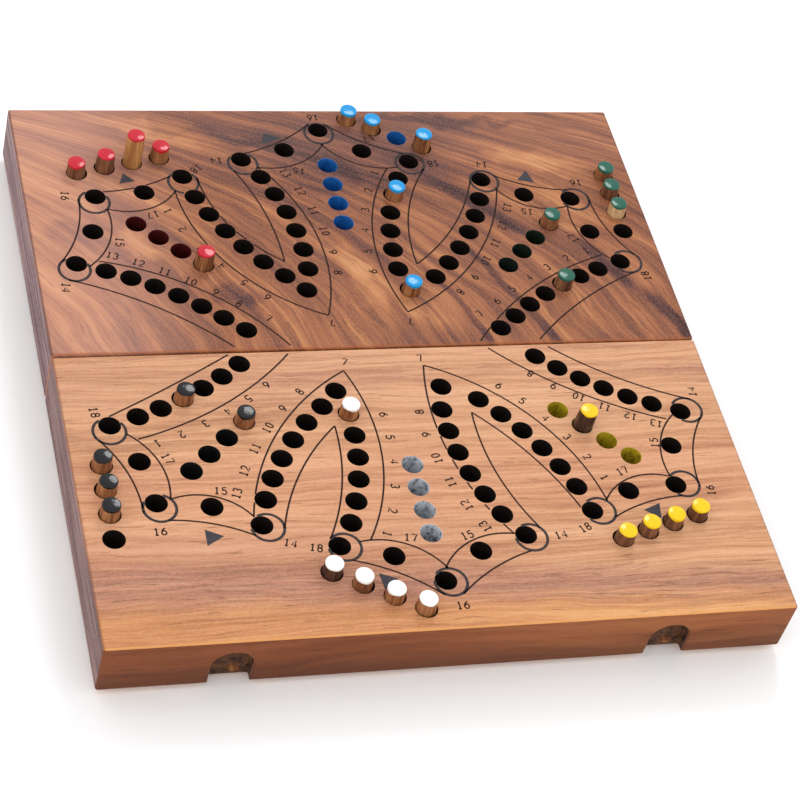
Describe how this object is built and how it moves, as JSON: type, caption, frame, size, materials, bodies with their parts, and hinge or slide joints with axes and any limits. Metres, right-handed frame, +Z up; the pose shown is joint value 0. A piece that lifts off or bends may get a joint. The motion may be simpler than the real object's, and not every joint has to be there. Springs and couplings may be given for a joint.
{
  "type": "folding peg race board game",
  "caption": "Flat two-part folding wooden peg race board: drilled track of holes, standing dowel pegs with painted tops, hinges and feet underneath.",
  "frame": {"origin": "on the surface that the game stands on, under the middle of the seam between the two halves", "axes": "+X along the seam to the right, +Y towards the back half, +Z up out of the playing face"},
  "size_m": [0.28, 0.288, 0.0463],
  "materials": {
    "dark_wood": "satin lacquered reddish-brown hardwood, dark streaks",
    "light_wood": "satin lacquered honey-brown hardwood, straight grain",
    "dowel_red": "hardwood dowel, gloss red painted top",
    "dowel_blue": "hardwood dowel, gloss sky-blue painted top",
    "dowel_green": "hardwood dowel, gloss dark green painted top",
    "dowel_black": "hardwood dowel, gloss black painted top",
    "dowel_white": "hardwood dowel, gloss white painted top",
    "dowel_yellow": "hardwood dowel, gloss yellow painted top",
    "brass": "bright rolled brass",
    "pin_steel": "plain steel wire",
    "foot_rubber": "matt black bumper"
  },
  "bodies": {
    "front_half": {"front_half": "light_wood", "hinge_left_front_leaf": "brass", "hinge_left_pin": "pin_steel", "hinge_left_front_screw_1": "brass", "hinge_left_front_screw_2": "brass", "hinge_right_front_leaf": "brass", "hinge_right_pin": "pin_steel", "hinge_right_front_screw_1": "brass", "hinge_right_front_screw_2": "brass", "front_foot_1": "foot_rubber", "front_foot_2": "foot_rubber", "front_foot_3": "foot_rubber", "front_foot_4": "foot_rubber"},
    "back_half": {"back_half": "dark_wood", "hinge_left_back_leaf": "brass", "hinge_left_back_screw_1": "brass", "hinge_left_back_screw_2": "brass", "hinge_right_back_leaf": "brass", "hinge_right_back_screw_1": "brass", "hinge_right_back_screw_2": "brass", "back_foot_1": "foot_rubber", "back_foot_2": "foot_rubber", "back_foot_3": "foot_rubber", "back_foot_4": "foot_rubber"},
    "red_peg_1": {"red_peg_1": "dowel_red"},
    "red_peg_2": {"red_peg_2": "dowel_red"},
    "red_peg_3": {"red_peg_3": "dowel_red"},
    "red_peg_4": {"red_peg_4": "dowel_red"},
    "red_peg_5": {"red_peg_5": "dowel_red"},
    "blue_peg_1": {"blue_peg_1": "dowel_blue"},
    "blue_peg_2": {"blue_peg_2": "dowel_blue"},
    "blue_peg_3": {"blue_peg_3": "dowel_blue"},
    "blue_peg_4": {"blue_peg_4": "dowel_blue"},
    "blue_peg_5": {"blue_peg_5": "dowel_blue"},
    "green_peg_1": {"green_peg_1": "dowel_green"},
    "green_peg_2": {"green_peg_2": "dowel_green"},
    "green_peg_3": {"green_peg_3": "dowel_green"},
    "green_peg_4": {"green_peg_4": "dowel_green"},
    "green_peg_5": {"green_peg_5": "dowel_green"},
    "black_peg_1": {"black_peg_1": "dowel_black"},
    "black_peg_2": {"black_peg_2": "dowel_black"},
    "black_peg_3": {"black_peg_3": "dowel_black"},
    "black_peg_4": {"black_peg_4": "dowel_black"},
    "black_peg_5": {"black_peg_5": "dowel_black"},
    "white_peg_1": {"white_peg_1": "dowel_white"},
    "white_peg_2": {"white_peg_2": "dowel_white"},
    "white_peg_3": {"white_peg_3": "dowel_white"},
    "white_peg_4": {"white_peg_4": "dowel_white"},
    "white_peg_5": {"white_peg_5": "dowel_white"},
    "yellow_peg_1": {"yellow_peg_1": "dowel_yellow"},
    "yellow_peg_2": {"yellow_peg_2": "dowel_yellow"},
    "yellow_peg_3": {"yellow_peg_3": "dowel_yellow"},
    "yellow_peg_4": {"yellow_peg_4": "dowel_yellow"},
    "yellow_peg_5": {"yellow_peg_5": "dowel_yellow"}
  },
  "joints": [
    {"name": "fold", "type": "hinge", "parent": "front_half", "child": "back_half", "pos_m": [0, 0, 0.00135], "axis": [-1, 0, 0], "range_deg": [0, 180]},
    {"name": "red_peg_1_lift", "type": "slide", "parent": "back_half", "child": "red_peg_1", "axis": [0, 0, 1], "range_m": [0, 0.016]},
    {"name": "red_peg_2_lift", "type": "slide", "parent": "back_half", "child": "red_peg_2", "axis": [0, 0, 1], "range_m": [-0.0021, 0.0139]},
    {"name": "red_peg_3_lift", "type": "slide", "parent": "back_half", "child": "red_peg_3", "axis": [0, 0, 1], "range_m": [-0.0104, 0.0056]},
    {"name": "red_peg_4_lift", "type": "slide", "parent": "back_half", "child": "red_peg_4", "axis": [0, 0, 1], "range_m": [-0.0013, 0.0147]},
    {"name": "red_peg_5_lift", "type": "slide", "parent": "back_half", "child": "red_peg_5", "axis": [0, 0, 1], "range_m": [-0.0021, 0.0139]},
    {"name": "blue_peg_1_lift", "type": "slide", "parent": "back_half", "child": "blue_peg_1", "axis": [0, 0, 1], "range_m": [0, 0.016]},
    {"name": "blue_peg_2_lift", "type": "slide", "parent": "back_half", "child": "blue_peg_2", "axis": [0, 0, 1], "range_m": [0, 0.016]},
    {"name": "blue_peg_3_lift", "type": "slide", "parent": "back_half", "child": "blue_peg_3", "axis": [0, 0, 1], "range_m": [-0.0023, 0.0137]},
    {"name": "blue_peg_4_lift", "type": "slide", "parent": "back_half", "child": "blue_peg_4", "axis": [0, 0, 1], "range_m": [0, 0.016]},
    {"name": "blue_peg_5_lift", "type": "slide", "parent": "back_half", "child": "blue_peg_5", "axis": [0, 0, 1], "range_m": [0, 0.016]},
    {"name": "green_peg_1_lift", "type": "slide", "parent": "back_half", "child": "green_peg_1", "axis": [0, 0, 1], "range_m": [0, 0.016]},
    {"name": "green_peg_2_lift", "type": "slide", "parent": "back_half", "child": "green_peg_2", "axis": [0, 0, 1], "range_m": [0, 0.016]},
    {"name": "green_peg_3_lift", "type": "slide", "parent": "back_half", "child": "green_peg_3", "axis": [0, 0, 1], "range_m": [0, 0.016]},
    {"name": "green_peg_4_lift", "type": "slide", "parent": "back_half", "child": "green_peg_4", "axis": [0, 0, 1], "range_m": [0, 0.016]},
    {"name": "green_peg_5_lift", "type": "slide", "parent": "back_half", "child": "green_peg_5", "axis": [0, 0, 1], "range_m": [0, 0.016]},
    {"name": "black_peg_1_lift", "type": "slide", "parent": "front_half", "child": "black_peg_1", "axis": [0, 0, 1], "range_m": [0, 0.016]},
    {"name": "black_peg_2_lift", "type": "slide", "parent": "front_half", "child": "black_peg_2", "axis": [0, 0, 1], "range_m": [0, 0.016]},
    {"name": "black_peg_3_lift", "type": "slide", "parent": "front_half", "child": "black_peg_3", "axis": [0, 0, 1], "range_m": [0, 0.016]},
    {"name": "black_peg_4_lift", "type": "slide", "parent": "front_half", "child": "black_peg_4", "axis": [0, 0, 1], "range_m": [0, 0.016]},
    {"name": "black_peg_5_lift", "type": "slide", "parent": "front_half", "child": "black_peg_5", "axis": [0, 0, 1], "range_m": [0, 0.016]},
    {"name": "white_peg_1_lift", "type": "slide", "parent": "front_half", "child": "white_peg_1", "axis": [0, 0, 1], "range_m": [0, 0.016]},
    {"name": "white_peg_2_lift", "type": "slide", "parent": "front_half", "child": "white_peg_2", "axis": [0, 0, 1], "range_m": [0, 0.016]},
    {"name": "white_peg_3_lift", "type": "slide", "parent": "front_half", "child": "white_peg_3", "axis": [0, 0, 1], "range_m": [0, 0.016]},
    {"name": "white_peg_4_lift", "type": "slide", "parent": "front_half", "child": "white_peg_4", "axis": [0, 0, 1], "range_m": [0, 0.016]},
    {"name": "white_peg_5_lift", "type": "slide", "parent": "front_half", "child": "white_peg_5", "axis": [0, 0, 1], "range_m": [0, 0.016]},
    {"name": "yellow_peg_1_lift", "type": "slide", "parent": "front_half", "child": "yellow_peg_1", "axis": [0, 0, 1], "range_m": [0, 0.016]},
    {"name": "yellow_peg_2_lift", "type": "slide", "parent": "front_half", "child": "yellow_peg_2", "axis": [0, 0, 1], "range_m": [0, 0.016]},
    {"name": "yellow_peg_3_lift", "type": "slide", "parent": "front_half", "child": "yellow_peg_3", "axis": [0, 0, 1], "range_m": [0, 0.016]},
    {"name": "yellow_peg_4_lift", "type": "slide", "parent": "front_half", "child": "yellow_peg_4", "axis": [0, 0, 1], "range_m": [0, 0.016]},
    {"name": "yellow_peg_5_lift", "type": "slide", "parent": "front_half", "child": "yellow_peg_5", "axis": [0, 0, 1], "range_m": [-0.0036, 0.0124]}
  ]
}
